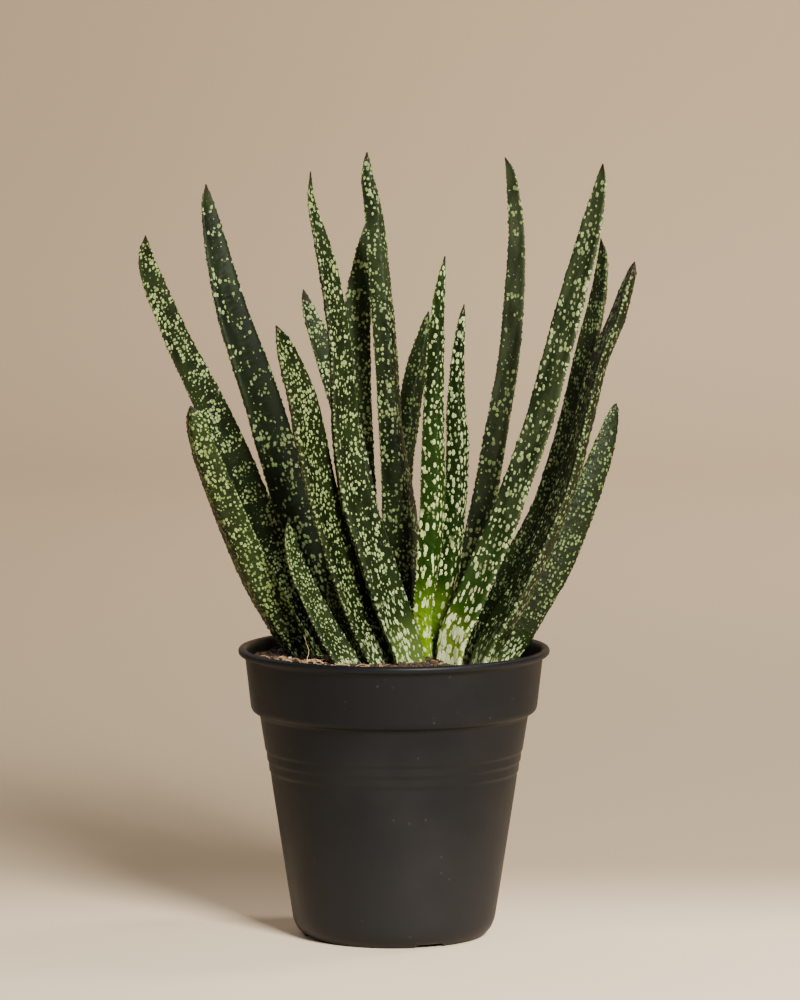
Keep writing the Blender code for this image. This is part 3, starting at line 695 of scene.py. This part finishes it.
def leaf_material(name, look, spot_relief):
    """Dark waxy skin with raised pale spots, a paler base and a brown tip."""
    material, tree = new_material(name)
    place = add_node(tree, "ShaderNodeAttribute", (-7, 0), attribute_name="straight").outputs["Vector"]
    where = add_node(tree, "ShaderNodeAttribute", (-7, 3), attribute_name="where").outputs["Vector"]
    height, edge, bead = add_node(tree, "ShaderNodeSeparateXYZ", (-6, 3), {0: where}).outputs
    share = add_node(tree, "ShaderNodeAttribute", (-7, 5), attribute_name="share").outputs["Fac"]
    skin = use_group(tree, "Leaf skin", (-5, 0), {"Place": place})
    low = ease(tree, (-5, 3), height, look["base_height"], look["base_height"] * 0.12)
    cream = ease(tree, (-5, 4), height, look["cream_height"], look["cream_height"] * 0.4)
    crowd = maths(tree, "MULTIPLY", (-4, 3), cream, look["cream"])
    near_tip = ease(tree, (-5, 5), share, 0.80, 0.99)
    crowd = maths(tree, "MULTIPLY_ADD", (-3, 3), near_tip, 0.05, crowd)
    bare = maths(tree, "MULTIPLY", (-3, 6), ease(tree, (-4, 6), share, 0.38, 0.60), look["bareness"])
    spot_values = {
        "Place": place, "Spread": look["spread"], "Size": look["size"], "Stretch": look["stretch"],
        "Banding": look["banding"], "Crowding": crowd, "Bareness": bare,
    }
    spots = use_group(tree, "Pale spots", (-2, 2), spot_values)
    streak_values = {
        "Place": place, "Spread": look["spread"] * look["streak_gap"], "Size": 0.40, "Stretch": 2.3,
        "Banding": 0.35, "Crowding": crowd,
    }
    streaks = use_group(tree, "Pale spots", (-2, 5), streak_values)
    streaked = ease(tree, (-1, 6), low, 0.45, 0.55)
    mask = mix_values(tree, (0, 4), streaked, spots["Spots"], streaks["Spots"])
    mask = maths(tree, "MAXIMUM", (1, 4), mask, ease(tree, (-1, 7), bead, 0.35, 0.6))
    green = blend_colours(tree, (-3, 0), skin["Lightness"], look["skin"], look["lit"])
    green = blend_colours(tree, (-1, 0), low, green, look["base_skin"])
    green = blend_colours(tree, (-1, -1), cream, green, look["heart"])
    rim = maths(tree, "MULTIPLY", (-1, 1), edge, 0.06)
    green = blend_colours(tree, (0, 0), rim, green, look["spot"])
    pale = blend_colours(tree, (1, 1), low, look["spot"], look["base_spot"])
    shown = blend_colours(tree, (2, 0), mask, green, pale)
    end = ease(tree, (2, 2), share, look["tip_from"], min(look["tip_from"] + 0.04, 0.998), 0.0, 0.92)
    fine = maths(tree, "MULTIPLY", (3, 4), skin["Relief"], 0.18)
    rise = mix_values(tree, (2, 4), streaked, spots["Rise"], streaks["Rise"])
    add_surface(tree, {
        "Base Color": blend_colours(tree, (3, 0), end, shown, look["tip"]),
        "Roughness": maths(tree, "MULTIPLY_ADD", (3, 2), mask, 0.14, skin["Roughness"]),
        "Normal": relief(tree, (5, 4), maths(tree, "ADD", (4, 4), rise, fine), 0.85, spot_relief),
        "Specular IOR Level": LEAF_SPECULAR,
    })
    return material


def pot_material(settings):
    """Thin black nursery-pot plastic, satin, with a little dust."""
    material, tree = new_material("Pot plastic")
    place = add_node(tree, "ShaderNodeTexCoord", (-6, 0)).outputs["Object"]
    dust = use_group(tree, "Dust", (-4, 0), {"Place": place, "Amount": settings.dust})
    veil = maths(tree, "MULTIPLY", (-2, 1), dust["Veil"], 0.16)
    colour = blend_colours(tree, (-1, 0), veil, settings.plastic, DUST_COLOUR)
    height = add_node(tree, "ShaderNodeSeparateXYZ", (-5, 2), {0: place}).outputs["Z"]
    # Paler towards the bottom: a smooth ramp over the lower part of the pot.
    paler_low = ease(tree, (-2, 2), height, 0.085, 0.0, 0.0, 0.22)
    colour = blend_colours(tree, (0, 1), paler_low, colour, PALE_LOW_COLOUR)
    specks = maths(tree, "MULTIPLY", (-1, 2), dust["Specks"], 0.22)
    grain = noise_at(tree, (-4, 4), place, 900.0, 2.0)["Fac"]
    broad = noise_at(tree, (-4, 6), place, 24.0, 3.0)["Fac"]
    rough = ease(tree, (-2, 4), broad, 0.3, 0.7, 0.42, 0.50)
    add_surface(tree, {
        "Base Color": blend_colours(tree, (0, 0), specks, colour, SPECK_COLOUR),
        "Roughness": maths(tree, "MULTIPLY_ADD", (0, 4), dust["Veil"], 0.25, rough),
        "Normal": relief(tree, (2, 5), grain, 0.25, 0.06 * MM),
        "Specular IOR Level": POT_SPECULAR,
    })
    return material


def mix_material(name, dark, light, scale, roughness):
    """Peaty mix, bark, root or grit: mottled between two colours, dry and rough."""
    material, tree = new_material(name)
    place = add_node(tree, "ShaderNodeTexCoord", (-5, 0)).outputs["Object"]
    cloud = noise_at(tree, (-4, 0), place, scale, 6.0, 0.65)["Fac"]
    own = cells_at(tree, (-4, 2), place, scale * 2.2)[1]
    both = maths(tree, "MULTIPLY_ADD", (-2, 1), own[0], 0.35, cloud)
    share = ease(tree, (-1, 1), both, 0.45, 0.95)
    add_surface(tree, {
        "Base Color": blend_colours(tree, (0, 0), share, dark, light),
        "Roughness": ease(tree, (0, 2), cloud, 0.2, 0.8, roughness - 0.08, roughness + 0.06),
        "Normal": relief(tree, (2, 3), both, 0.8, 0.5 * MM),
    })
    return material


# ---- Shapes ----


def as_mesh(bm, name):
    """Turns the faces outwards and hands the shape over as a mesh."""
    bmesh.ops.recalc_face_normals(bm, faces=bm.faces)
    mesh = bpy.data.meshes.new(name)
    bm.to_mesh(mesh)
    bm.free()
    return mesh


def linked(name, data):
    """A new object at the origin."""
    holder = bpy.data.objects.new(name, data)
    bpy.context.scene.collection.objects.link(holder)
    return holder


def settled_mesh(holder, *helpers):
    """The mesh that a curve or a modifier makes. The objects that led to it are removed."""
    bpy.context.view_layer.update()
    mesh = bpy.data.meshes.new_from_object(holder.evaluated_get(bpy.context.evaluated_depsgraph_get()))
    for spent in (holder, *helpers):
        bpy.data.objects.remove(spent)
    return mesh


def finish_piece(name, mesh, material, slot, *nodes):
    """Gives a piece its finish and ties it to the model, in place of the nodes."""
    piece = linked(name, mesh)
    mesh.materials.append(material)
    for face in mesh.polygons:
        face.use_smooth = True
    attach(piece, "root")
    if nodes:
        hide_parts(*nodes)


def smooth_between(a, b, c, d, share):
    """A point on the smooth curve from b to c, which comes from a and goes on to d."""
    blend = b * 2 + (c - a) * share + (a * 2 - b * 5 + c * 4 - d) * share**2
    return (blend + (b * 3 - a - c * 3 + d) * share**3) * 0.5


def curve_at(points, place):
    """Position and half-width at a place, counted in spans, on a smooth curve through the points."""
    spans = len(points) - 1
    first = min(max(int(place), 0), spans - 1)
    b, c = Vector(points[first]), Vector(points[first + 1])
    a = Vector(points[first - 1]) if first > 0 else b * 2 - c
    d = Vector(points[first + 2]) if first + 2 <= spans else c * 2 - b
    here = smooth_between(a, b, c, d, place - first)
    return here.to_3d() * MM + Vector((0, 0, DATUM_Z)), max(here[3], THINNEST) * MM


def smooth_section(per_span):
    """Points round a leaf's section on a closed curve through LEAF_SECTION's corners."""
    count = len(LEAF_SECTION)
    points = []
    for corner in range(count):
        a, b, c, d = (Vector(LEAF_SECTION[(corner + step) % count]) for step in (-1, 0, 1, 2))
        points.extend(smooth_between(a, b, c, d, part / per_span) for part in range(per_span))
    return points


def even_places(points, gap):
    """Places along a leaf's path at even distances, with the distance from the base in mm."""
    steps = SPAN_STEPS * (len(points) - 1)
    lengths = [0.0]
    before = curve_at(points, 0.0)[0]
    for step in range(1, steps + 1):
        here = curve_at(points, step / SPAN_STEPS)[0]
        lengths.append(lengths[-1] + (here - before).length)
        before = here
    rings = max(FEWEST_RINGS, round(lengths[-1] / gap))
    places = []
    step = 0
    for ring in range(rings + 1):
        wanted = lengths[-1] * ring / rings
        while step < steps - 1 and lengths[step + 1] < wanted:
            step += 1
        part = (wanted - lengths[step]) / max(lengths[step + 1] - lengths[step], 1e-9)
        places.append(((step + min(max(part, 0.0), 1.0)) / SPAN_STEPS, wanted / MM))
    return places


def bead_line(chance, length):
    """Places, widths and strengths of the horny beads along one margin."""
    beads = []
    along = chance.uniform(*BEAD_START)
    while along < length:
        beads.append((along, chance.uniform(*BEAD_WIDTH), chance.uniform(*BEAD_STRENGTH)))
        along += chance.uniform(*BEAD_GAP)
    return beads


def bead_at(beads, along):
    """How strongly a bead stands out at a distance from the base."""
    return max((size * math.exp(-(((along - at) / wide) ** 2)) for at, wide, size in beads), default=0.0)


def fold_bake_map(bm):
    """Lays the leaf's long map in two strips side by side, so that a square image serves it well."""
    layer = bm.loops.layers.uv["OFBake"]
    for face in bm.faces:
        middle = sum(loop[layer].uv.y for loop in face.loops) / len(face.loops)
        half = 0 if middle < 0.5 else 1
        for loop in face.loops:
            across, along = loop[layer].uv
            loop[layer].uv = (
                0.5 * half + MAP_EDGE + across * (0.5 - 2 * MAP_EDGE),
                MAP_EDGE + (along * 2 - half) * (1 - 2 * MAP_EDGE),
            )


def ring_at(points, place, along, faces, lines):
    """A ring's centre, half-width, sideways and upper directions, distance and bead strengths."""
    centre, half_width = curve_at(points, place)
    ahead = curve_at(points, min(place + TANGENT_SPAN, len(points) - 1))[0]
    tangent = (ahead - curve_at(points, max(place - TANGENT_SPAN, 0))[0]).normalized()
    upper = (faces - tangent * faces.dot(tangent)).normalized()
    return centre, half_width, tangent.cross(upper), upper, along, [bead_at(line, along) for line in lines]


def shape_leaf(bm, points, roll, settings, seed):
    """Wraps a flat sheet round the leaf's path: skin, margins with beads, base and tip."""
    chance = random.Random(seed)
    section = smooth_section(settings.sides_per_span)
    sides = len(section)
    places = even_places(points, settings.ring_gap)
    length = places[-1][1]
    lines = [bead_line(chance, length) for _ in MARGINS]
    straight = bm.verts.layers.float_vector.new("straight")
    where = bm.verts.layers.float_vector.new("where")
    share = bm.verts.layers.float.new("share")
    bm.loops.layers.uv.new("OFBake")
    bmesh.ops.create_grid(bm, x_segments=sides, y_segments=len(places) - 1, size=0.5, calc_uvs=True)
    rings = {}
    faces = Vector((math.cos(roll), math.sin(roll), 0))
    for vert in bm.verts:
        side = round((vert.co.x + 0.5) * sides) % sides
        ring = round((vert.co.y + 0.5) * (len(places) - 1))
        if ring not in rings:
            rings[ring] = ring_at(points, *places[ring], faces, lines)
        centre, half_width, across, upper, along, strengths = rings[ring]
        out = section[side]
        wide = half_width / MM
        flat_x, flat_y = out[0] * wide, out[1] * wide
        rim = 0.0
        bead = 0.0
        for strength, (corner, bead_reach, bead_share, rim_reach) in zip(strengths, MARGINS):
            gap = math.hypot((out[0] - corner[0]) * wide, (out[1] - corner[1]) * wide)
            bead = max(bead, (1.0 - gap / bead_reach) * strength * bead_share)
            if rim_reach:
                rim = max(rim, 1.0 - gap / rim_reach)
        fade = min(1.0, wide / FULL_RELIEF_WIDTH)
        grain = Vector((flat_x * SWELL_GRAIN, flat_y * SWELL_GRAIN, along * SWELL_GRAIN_ALONG + seed * 7.3))
        reach = half_width * (1 + SWELL * noise.noise(grain) * fade)
        grain = Vector((flat_x * WART_GRAIN, flat_y * WART_GRAIN, along * WART_GRAIN + seed * 9.1))
        wart = max(0.0, noise.noise(grain) - WART_FROM) * WART_HEIGHT
        point = centre + across * (out[0] * reach) + upper * (out[1] * reach)
        outward = (across * out[0] + upper * out[1]).normalized()
        vert.co = point + outward * ((settings.bead_height * bead + wart) * fade)
        vert[straight] = Vector((flat_x, flat_y, along + seed * LEAF_PATTERN_GAP))
        vert[where] = Vector((along, rim, bead * fade))
        vert[share] = along / length
    fold_bake_map(bm)
    bmesh.ops.remove_doubles(bm, verts=bm.verts, dist=1e-6)
    open_edges = [edge for edge in bm.edges if edge.is_boundary]
    bmesh.ops.holes_fill(bm, edges=open_edges, sides=0)


def make_leaves(kinds, settings):
    """Builds the leaves whose CAD names are given."""
    for seed, (node, roll, points) in enumerate(LEAVES, 1):
        name = node.removeprefix("leaf_")
        if name not in kinds:
            continue
        bm = bmesh.new()
        shape_leaf(bm, points, math.radians(roll), settings, seed)
        mesh = as_mesh(bm, name + "_blade")
        look = {**PLAIN_SKIN, **SKINS[name]}
        material = leaf_material("Leaf " + name.replace("_", " "), look, settings.spot_relief)
        slot = "young_leaf" if name in YOUNG_LEAVES else "leaf"
        finish_piece(name + "_blade", mesh, material, slot, node)


def make_pot(settings):
    """Turns the pot's wall, opens its foot and cuts its drain holes."""
    bm = bmesh.new()
    verts = [bm.verts.new((radius * MM, 0, height * MM + DATUM_Z)) for radius, height in POT_PROFILE]
    edges = [bm.edges.new(pair) for pair in zip(verts, verts[1:])]
    bmesh.ops.spin(
        bm, geom=verts + edges, cent=(0, 0, 0), axis=(0, 0, 1), dvec=(0, 0, 0),
        angle=math.tau, steps=settings.sides, use_merge=True, use_duplicate=False,
    )
    bmesh.ops.remove_doubles(bm, verts=bm.verts, dist=1e-6)
    spacing = 360 / GAP_COUNT
    for vert in bm.verts:
        radius = math.hypot(vert.co.x, vert.co.y)
        if vert.co.z > RING_TOP_Z or radius < RING_RADIUS:
            continue
        turn = math.degrees(math.atan2(vert.co.y, vert.co.x)) - GAP_FIRST_DEGREES + spacing / 2
        if radius * math.radians(abs(turn % spacing - spacing / 2)) < GAP_WIDTH / 2:
            vert.co.z = GAP_TOP_Z
    pot = linked("pot_blank", as_mesh(bm, "nursery_pot"))
    cutter = drain_cutter()
    cut = pot.modifiers.new("Drain holes", "BOOLEAN")
    cut.object = cutter
    cut.solver = "EXACT"
    finish_piece("nursery_pot", settled_mesh(pot, cutter), pot_material(settings), "pot", "pot")


def drain_cutter():
    """Round cutters through the pot's floor."""
    bm = bmesh.new()
    for hole in range(DRAIN_COUNT):
        turn = math.radians(DRAIN_FIRST_DEGREES + 360 / DRAIN_COUNT * hole)
        made = bmesh.ops.create_cone(
            bm, cap_ends=True, segments=32, radius1=DRAIN_RADIUS, radius2=DRAIN_RADIUS, depth=DRAIN_DEPTH,
        )
        offset = Vector((math.cos(turn), math.sin(turn), 0)) * DRAIN_CIRCLE
        bmesh.ops.translate(bm, verts=made["verts"], vec=offset)
    return linked("drain_cutter", as_mesh(bm, "drain_cutter"))


def soil_height(x, y, level):
    """Height of the potting mix: mounded round the plant, sunken at the right, and lumpy."""
    out, right = math.hypot(x, y) / SOIL_RADIUS, x / SOIL_RADIUS
    height = level + SOIL_MOUND * (1 - min(out, 1.0) ** 2)
    height += SOIL_LEFT_RISE * max(0.0, -right) - SOIL_RIGHT_DROP * max(0.0, right) ** 1.5
    for density, seed, size in SOIL_LUMPS:
        height += noise.noise(Vector((x * density, y * density, seed))) * size
    return height


def widen(bm, ring, radius, height, level=None):
    """Extrudes a ring of edges to another radius, at a height or on the mix's surface."""
    made = bmesh.ops.extrude_edge_only(bm, edges=ring)["geom"]
    for vert in (item for item in made if isinstance(item, bmesh.types.BMVert)):
        scale = radius / math.hypot(vert.co.x, vert.co.y)
        vert.co.x *= scale
        vert.co.y *= scale
        vert.co.z = height if level is None else soil_height(vert.co.x, vert.co.y, level)
    return [item for item in made if isinstance(item, bmesh.types.BMEdge)]


def make_soil(settings):
    """The bed of potting mix, filling the pot up to its lumpy surface."""
    bm = bmesh.new()
    foot_radius, foot_height = SOIL_SKIRT[0]
    made = bmesh.ops.create_circle(bm, cap_ends=False, segments=SOIL_SIDES, radius=foot_radius * MM)
    ring = list(bm.edges)
    bmesh.ops.translate(bm, verts=made["verts"], vec=(0, 0, foot_height * MM))
    for radius, height in SOIL_SKIRT[1:]:
        ring = widen(bm, ring, radius * MM, height * MM)
    for step in range(SOIL_RINGS):
        ring = widen(bm, ring, (SOIL_TOP_RADIUS - SOIL_RING_GAP * step) * MM, None, settings.level)
    bmesh.ops.holes_fill(bm, edges=[edge for edge in bm.edges if edge.is_boundary], sides=0)
    dark, light = ([share * part for part in settings.peat] for share in PEAT_RANGE)
    material = mix_material("Potting mix", dark, light, 420.0, 0.9)
    finish_piece("soil_bed", as_mesh(bm, "soil_bed"), material, "soil", "soil")


def spot_on_soil(chance):
    """A random place on the mix, inside the pot's wall."""
    turn = chance.uniform(0, math.tau)
    radius = LITTER_RADIUS * math.sqrt(chance.random())
    return radius * math.cos(turn), radius * math.sin(turn)


def litter_material(name):
    """The finish of one kind of litter."""
    return mix_material(name, *LITTER[name])


def random_turn(chance, tilt):
    """A turn about the upright with a tilt either way."""
    return Euler((chance.uniform(-tilt, tilt), chance.uniform(-tilt, tilt), chance.uniform(0, 6.3)))


def lay_down(bm, verts, size, turn, chance, uneven, place):
    """Gives one loose piece its size, its turn and an uneven shape, and lays it in its place."""
    bmesh.ops.scale(bm, verts=verts, vec=size)
    bmesh.ops.rotate(bm, verts=verts, cent=(0, 0, 0), matrix=turn.to_matrix())
    for vert in verts:
        vert.co *= chance.uniform(*uneven)
    bmesh.ops.translate(bm, verts=verts, vec=Vector(place))


def scatter_grains(name, count, sizes, seed, settings, material, flat=0.7):
    """Loose angular grains lying on the mix, as one piece. Sizes are in mm."""
    chance = random.Random(seed)
    bm = bmesh.new()
    for _ in range(count):
        made = bmesh.ops.create_icosphere(bm, subdivisions=1, radius=1.0)["verts"]
        size = chance.uniform(*sizes) * MM
        x, y = spot_on_soil(chance)
        shape = [size * chance.uniform(*GRAIN_LENGTHS), size * chance.uniform(*GRAIN_WIDTHS), size * flat]
        turn = random_turn(chance, GRAIN_TILT)
        height = soil_height(x, y, settings.level) + size * flat * GRAIN_LIFT
        lay_down(bm, made, shape, turn, chance, GRAIN_UNEVEN, (x, y, height))
    finish_piece(name, as_mesh(bm, name), material, "soil")


def make_chips(settings):
    """Flat chips of bark, one of them standing at the front."""
    chance = random.Random(5)
    bm = bmesh.new()
    for index in range(CHIP_COUNT):
        made = bmesh.ops.create_cube(bm, size=1.0)["verts"]
        size = [chance.uniform(*reach) * MM for reach in CHIP_SIZES]
        x, y = spot_on_soil(chance)
        turn = random_turn(chance, CHIP_TILT)
        if index == 0:
            (x, y), size, turn = UPRIGHT_CHIP_PLACE, UPRIGHT_CHIP_SIZE, Euler(UPRIGHT_CHIP_TURN)
        height = soil_height(x, y, settings.level) + LITTER_LIFT
        lay_down(bm, made, size, turn, chance, CHIP_UNEVEN, (x, y, height))
    bmesh.ops.bevel(
        bm, geom=bm.edges[:], offset=CHIP_BEVEL, affect="EDGES", segments=1, profile=0.5, material=-1,
    )
    finish_piece("soil_chips", as_mesh(bm, "soil_chips"), litter_material("Bark chips"), "soil")


def thread(curve, points, thickness):
    """Adds one root or fibre to a curve."""
    spline = curve.splines.new("NURBS")
    spline.points.add(len(points) - 1)
    for index, (point, where) in enumerate(zip(spline.points, points)):
        point.co = (*where, 1.0)
        point.radius = thickness * (1.0 - ROOT_TAPER * index / len(points))
    spline.use_endpoint_u = True
    spline.order_u = 3


def make_roots(settings):
    """Fine pale roots and fibres lying on the mix, thickest in a clump at the front left."""
    chance = random.Random(17)
    curve = bpy.data.curves.new("roots", "CURVE")
    curve.dimensions = "3D"
    curve.bevel_depth = 1.0 * MM
    curve.bevel_resolution = 1
    curve.resolution_u = 2
    for index in range(settings.roots):
        clumped = index < settings.roots * CLUMP_SHARE
        x, y = spot_on_soil(chance)
        if clumped:
            x, y = (chance.uniform(*reach) * MM for reach in CLUMP_REACH)
        heading = chance.uniform(0, math.tau)
        lift = chance.uniform(*(CLUMP_ARCH if clumped else ROOT_ARCH)) * MM
        points = []
        for step in range(chance.randint(*ROOT_STEPS)):
            if math.hypot(x, y) > LITTER_RADIUS:
                break
            arch = abs(math.sin(step * ROOT_WAVE) * lift)
            points.append(Vector((x, y, soil_height(x, y, settings.level) + LITTER_LIFT + arch)))
            heading += chance.uniform(-ROOT_TURN, ROOT_TURN)
            x += ROOT_STEP * math.cos(heading)
            y += ROOT_STEP * math.sin(heading)
        if len(points) > 3:
            thread(curve, points, chance.uniform(*(CLUMP_THICKNESS if clumped else ROOT_THICKNESS)))
    thread(curve, [Vector(point) * MM for point in STRAY_ROOT], 0.22)
    mesh = settled_mesh(linked("roots_blank", curve))
    finish_piece("soil_roots", mesh, litter_material("Dry roots"), "soil")


# ---- Stage ----


def backdrop_material(paper):
    """Matt paper with painted shade, dimmer behind the plant and at the left."""
    material, tree = new_material("Pale backdrop")
    place = add_node(tree, "ShaderNodeTexCoord", (-4, 0)).outputs["Object"]
    share = ease(tree, (-2, 0), noise_at(tree, (-3, 0), place, 2.2, 3.0)["Fac"], 0.3, 0.7)
    colour = blend_colours(tree, (-1, 0), share, [part * 0.96 for part in paper], paper)
    axes = add_node(tree, "ShaderNodeSeparateXYZ", (-3, 4), {0: place}).outputs
    # Painted shade: each row darkens the paper towards its tone, in place of the light falling off behind
    # the plant and at the left.
    for row, (axis, low, high, strength, tone) in enumerate(BACKDROP_PAINTED_SHADE):
        mask = ease(tree, (-2, 4 + row), axes[axis], low, high, 0.0, strength)
        painted_shade = [part * level for part, level in zip(paper, tone)]
        colour = blend_colours(tree, (row, 1), mask, colour, painted_shade)
    grain = noise_at(tree, (-3, 2), place, 700.0, 2.0)["Fac"]
    add_surface(tree, {
        "Base Color": colour,
        "Roughness": 0.9,
        "Normal": relief(tree, (2, 2), grain, 0.25, 0.3 * MM),
        "Specular IOR Level": 0.2,
    })
    return material


def make_backdrop(settings):
    """A wide pale sheet that lies on the floor and curves up behind the plant."""
    bm = bmesh.new()
    bmesh.ops.create_grid(bm, x_segments=2, y_segments=96, size=0.5)
    for vert in bm.verts:
        along = (vert.co.y + 0.5) * BACKDROP_LENGTH
        past = max(0.0, along - BACKDROP_FLAT)
        turn = min(past / BACKDROP_BEND, math.pi / 2)
        vert.co.x *= BACKDROP_WIDTH
        vert.co.y = min(along, BACKDROP_FLAT) - BACKDROP_FRONT + BACKDROP_BEND * math.sin(turn)
        vert.co.z = BACKDROP_BEND * (1 - math.cos(turn)) + max(0.0, past - BACKDROP_BEND * math.pi / 2)
    mesh = bpy.data.meshes.new("backdrop")
    bm.to_mesh(mesh)
    bm.free()
    for face in mesh.polygons:
        face.use_smooth = True
    mesh.materials.append(backdrop_material(settings.paper))
    linked("backdrop", mesh)


def make_lights(settings):
    """Square soft lights that point at their aims, and an even sky."""
    for name, place, aim, share, size, colour in LIGHTS:
        light = bpy.data.lights.new(name, "AREA")
        light.shape = "SQUARE"
        light.size = size
        light.energy = settings.key_power * share
        light.color = colour
        holder = linked(name, light)
        holder.location = place
        holder.rotation_euler = (Vector(aim) - Vector(place)).to_track_quat("-Z", "Y").to_euler()
    world = bpy.data.worlds.new("Studio")
    world.use_nodes = True
    sky = world.node_tree.nodes["Background"]
    sky.inputs["Color"].default_value = full(SKY_COLOUR)
    sky.inputs["Strength"].default_value = settings.sky
    bpy.context.scene.world = world


def make_camera():
    """A long lens at the photograph's height, looking slightly down."""
    camera = bpy.data.cameras.new("Camera")
    camera.lens = CAMERA_LENS
    camera.sensor_width = 36.0
    holder = linked("Camera", camera)
    holder.location = CAMERA_PLACE
    holder.rotation_euler = (math.radians(90 - CAMERA_DOWN_DEGREES), 0, 0)
    bpy.context.scene.camera = holder


# ---- Operators ----


class GASTERIA_OT_pot(bpy.types.Operator):
    """Turn the nursery pot"""

    bl_idname = "gasteria.pot"
    bl_label = "Nursery pot"

    def execute(self, context):
        make_pot(context.scene.gasteria.pot)
        return {"FINISHED"}


class GASTERIA_OT_soil(bpy.types.Operator):
    """Fill the pot with potting mix"""

    bl_idname = "gasteria.soil"
    bl_label = "Potting mix"

    def execute(self, context):
        make_soil(context.scene.gasteria.soil)
        return {"FINISHED"}


class GASTERIA_OT_litter(bpy.types.Operator):
    """Lay crumbs, grit, bark and roots on the mix"""

    bl_idname = "gasteria.litter"
    bl_label = "Crumbs and roots"

    def execute(self, context):
        settings = context.scene.gasteria.soil
        crumb = litter_material("Peat crumbs")
        scatter_grains("soil_crumbs", settings.crumbs, CRUMB_SIZES, 3, settings, crumb)
        grit = litter_material("White grit")
        scatter_grains("soil_grit", GRIT_COUNT, GRIT_SIZES, 9, settings, grit, 0.9)
        make_chips(settings)
        make_roots(settings)
        return {"FINISHED"}


class GASTERIA_OT_leaves(bpy.types.Operator):
    """Grow the grown leaves"""

    bl_idname = "gasteria.leaves"
    bl_label = "Grown leaves"

    def execute(self, context):
        make_leaves(set(SKINS) - YOUNG_LEAVES, context.scene.gasteria.leaves)
        return {"FINISHED"}


class GASTERIA_OT_young_leaves(bpy.types.Operator):
    """Grow the young leaves and the two offsets"""

    bl_idname = "gasteria.young_leaves"
    bl_label = "Young leaves"

    def execute(self, context):
        make_leaves(YOUNG_LEAVES, context.scene.gasteria.leaves)
        return {"FINISHED"}


class GASTERIA_OT_stage(bpy.types.Operator):
    """Set up the backdrop, the light and the camera"""

    bl_idname = "gasteria.stage"
    bl_label = "Stage"

    def execute(self, context):
        settings = context.scene.gasteria.stage
        make_backdrop(settings)
        make_lights(settings)
        make_camera()
        return {"FINISHED"}


STEPS = (
    GASTERIA_OT_pot, GASTERIA_OT_soil, GASTERIA_OT_litter,
    GASTERIA_OT_leaves, GASTERIA_OT_young_leaves, GASTERIA_OT_stage,
)


class GASTERIA_PT_main(bpy.types.Panel):
    """The plant's steps and settings"""

    bl_idname = "GASTERIA_PT_main"
    bl_label = "Potted gasteria"
    bl_space_type = "VIEW_3D"
    bl_region_type = "UI"
    bl_category = "Gasteria"

    def draw(self, context):
        settings = context.scene.gasteria
        for step in STEPS:
            self.layout.operator(step.bl_idname)
        for group in (settings.pot, settings.soil, settings.leaves, settings.stage):
            box = self.layout.box()
            for name in group.__annotations__:
                box.prop(group, name)


CLASSES = (
    PotSettings, SoilSettings, LeafSettings, StageSettings, GasteriaSettings, *STEPS, GASTERIA_PT_main,
)


def register():
    """Registers the classes and the scene's settings."""
    for kind in CLASSES:
        bpy.utils.register_class(kind)
    bpy.types.Scene.gasteria = bpy.props.PointerProperty(type=GasteriaSettings)


def unregister():
    """Takes the settings and the classes away again."""
    del bpy.types.Scene.gasteria
    for kind in reversed(CLASSES):
        bpy.utils.unregister_class(kind)


def main():
    register()
    bpy.ops.gasteria.pot()
    bpy.ops.gasteria.soil()
    bpy.ops.gasteria.litter()
    bpy.ops.gasteria.leaves()
    bpy.ops.gasteria.young_leaves()
    bpy.ops.gasteria.stage()


if __name__ == "__main__":
    main()
